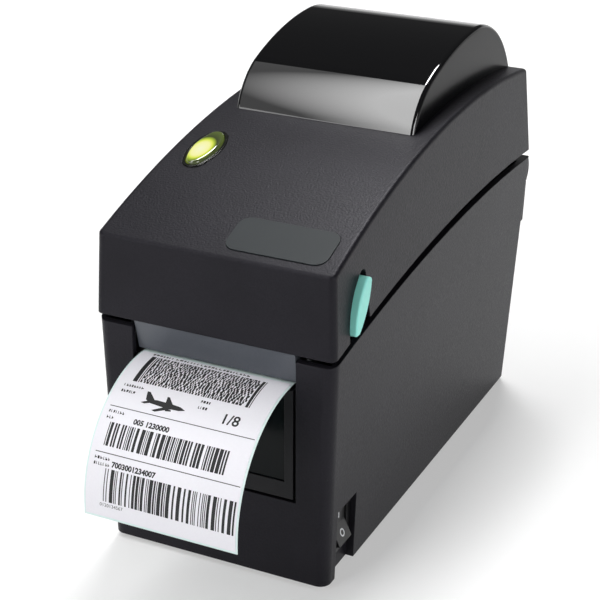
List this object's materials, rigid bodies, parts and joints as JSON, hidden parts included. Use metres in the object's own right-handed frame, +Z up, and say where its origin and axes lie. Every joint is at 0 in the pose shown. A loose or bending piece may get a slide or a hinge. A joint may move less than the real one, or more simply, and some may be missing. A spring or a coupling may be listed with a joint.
{
  "type": "thermal label printer",
  "caption": "Compact desktop thermal label printer with a hinged cover, smoked roll window, side release levers, driven platen, print head and self-centring roll guides.",
  "frame": {"origin": "on the table, under the middle of the case", "axes": "+Z up, -Y the front where labels come out, +X the side with the power switch"},
  "size_m": [0.1044, 0.2598, 0.1821],
  "materials": {
    "case": "fine-textured charcoal",
    "inner": "plain moulded grey",
    "rubber": "matt",
    "steel": "plain",
    "panel": "fine-textured charcoal",
    "zinc": "zinc plated",
    "acetal": "natural white",
    "liner": "pale glassine liner",
    "paper": "thermal label paper",
    "board": "green solder mask",
    "black": "black satin",
    "smoke": "smoked clear gloss",
    "lip": "satin grey",
    "ceramic": "glazed ceramic",
    "alu": "plain",
    "ring": "black gloss",
    "badge": "plain grey film",
    "mint": "mint satin",
    "brass": "plain",
    "card": "brown cardboard",
    "lamp": "translucent yellow-green, lit"
  },
  "bodies": {
    "base": {"base_housing": "case", "bottom_plate": "inner", "rubber_feet": "rubber", "bottom_screws": "steel", "front_panel": "panel", "panel_insert": "panel", "media_bay": "inner", "print_frame": "zinc", "platen_bush_left": "acetal", "platen_bush_right": "acetal", "drive_motor": "zinc", "idler_axle": "steel", "label_sensor": "inner", "label_liner": "liner", "printed_label": "paper", "strike_pins": "steel", "hinge_pins": "steel", "main_board": "board", "dc_jack": "black", "usb_port": "zinc", "serial_port": "zinc", "lan_port": "zinc", "switch_body": "black"},
    "cover": {"top_cover": "case", "window": "smoke", "print_lip": "lip", "tear_bar": "steel", "print_head": "ceramic", "heat_sink": "alu", "head_springs": "steel", "head_bracket": "inner", "button_ring": "ring", "button_board": "board", "badge_plate": "badge"},
    "latch": {"latch_shaft": "steel", "hook_left": "steel", "hook_right": "steel", "lever_left": "mint", "lever_right": "mint"},
    "platen": {"platen_shaft": "steel", "platen_rubber": "rubber", "platen_gear": "acetal"},
    "idler": {"idler_gear": "acetal"},
    "pinion": {"motor_pinion": "brass", "motor_shaft": "steel"},
    "guide_right": {"guide_right": "inner"},
    "guide_left": {"guide_left": "inner"},
    "guide_gear": {"guide_pinion": "acetal"},
    "roll": {"label_roll": "paper", "label_core": "card"},
    "button": {"feed_button": "lamp"},
    "rocker": {"power_rocker": "black"}
  },
  "joints": [
    {"name": "cover_hinge", "type": "hinge", "parent": "base", "child": "cover", "pos_m": [0, 0.101, 0.10506], "axis": [-1, 0, 0], "range_deg": [0, 85]},
    {"name": "latch_turn", "type": "hinge", "parent": "cover", "child": "latch", "pos_m": [0, -0.0825, 0.12447], "axis": [1, 0, 0], "range_deg": [0, 14], "stiffness_Nm_per_rad": 0.08, "springref_deg": -5.73},
    {"name": "platen_spin", "type": "hinge", "parent": "base", "child": "platen", "pos_m": [0, -0.095, 0.07873], "axis": [1, 0, 0], "continuous": true},
    {"name": "idler_spin", "type": "hinge", "parent": "base", "child": "idler", "pos_m": [-0.0405, -0.08308, 0.05965], "axis": [1, 0, 0], "continuous": true},
    {"name": "pinion_spin", "type": "hinge", "parent": "base", "child": "pinion", "pos_m": [-0.0405, -0.06896, 0.04694], "axis": [1, 0, 0], "continuous": true},
    {"name": "guide_right_slide", "type": "slide", "parent": "base", "child": "guide_right", "axis": [1, 0, 0], "range_m": [0, 0.007], "stiffness_N_per_m": 100, "springref_m": -0.01},
    {"name": "guide_left_slide", "type": "slide", "parent": "base", "child": "guide_left", "axis": [-1, 0, 0], "range_m": [0, 0.007]},
    {"name": "guide_pinion_turn", "type": "hinge", "parent": "base", "child": "guide_gear", "pos_m": [0, 0.038, 0.047], "axis": [0, 0, 1], "range_deg": [-58, 0]},
    {"name": "roll_spin", "type": "hinge", "parent": "base", "child": "roll", "pos_m": [0, 0.038, 0.104], "axis": [1, 0, 0], "continuous": true},
    {"name": "feed_press", "type": "slide", "parent": "cover", "child": "button", "axis": [0, 0.2088, -0.978], "range_m": [0, 0.0012], "stiffness_N_per_m": 300},
    {"name": "rocker_turn", "type": "hinge", "parent": "base", "child": "rocker", "pos_m": [0.0418, -0.09025, 0.0213], "axis": [0, 1, 0], "range_deg": [0, 24]}
  ],
  "couplings": [
    {"joint": "idler_spin", "follows": "platen_spin", "ratio": -0.77778},
    {"joint": "pinion_spin", "follows": "platen_spin", "ratio": 1.5556},
    {"joint": "guide_left_slide", "follows": "guide_right_slide", "ratio": 1},
    {"joint": "guide_pinion_turn", "follows": "guide_right_slide", "rad_per_m": -142.86}
  ]
}
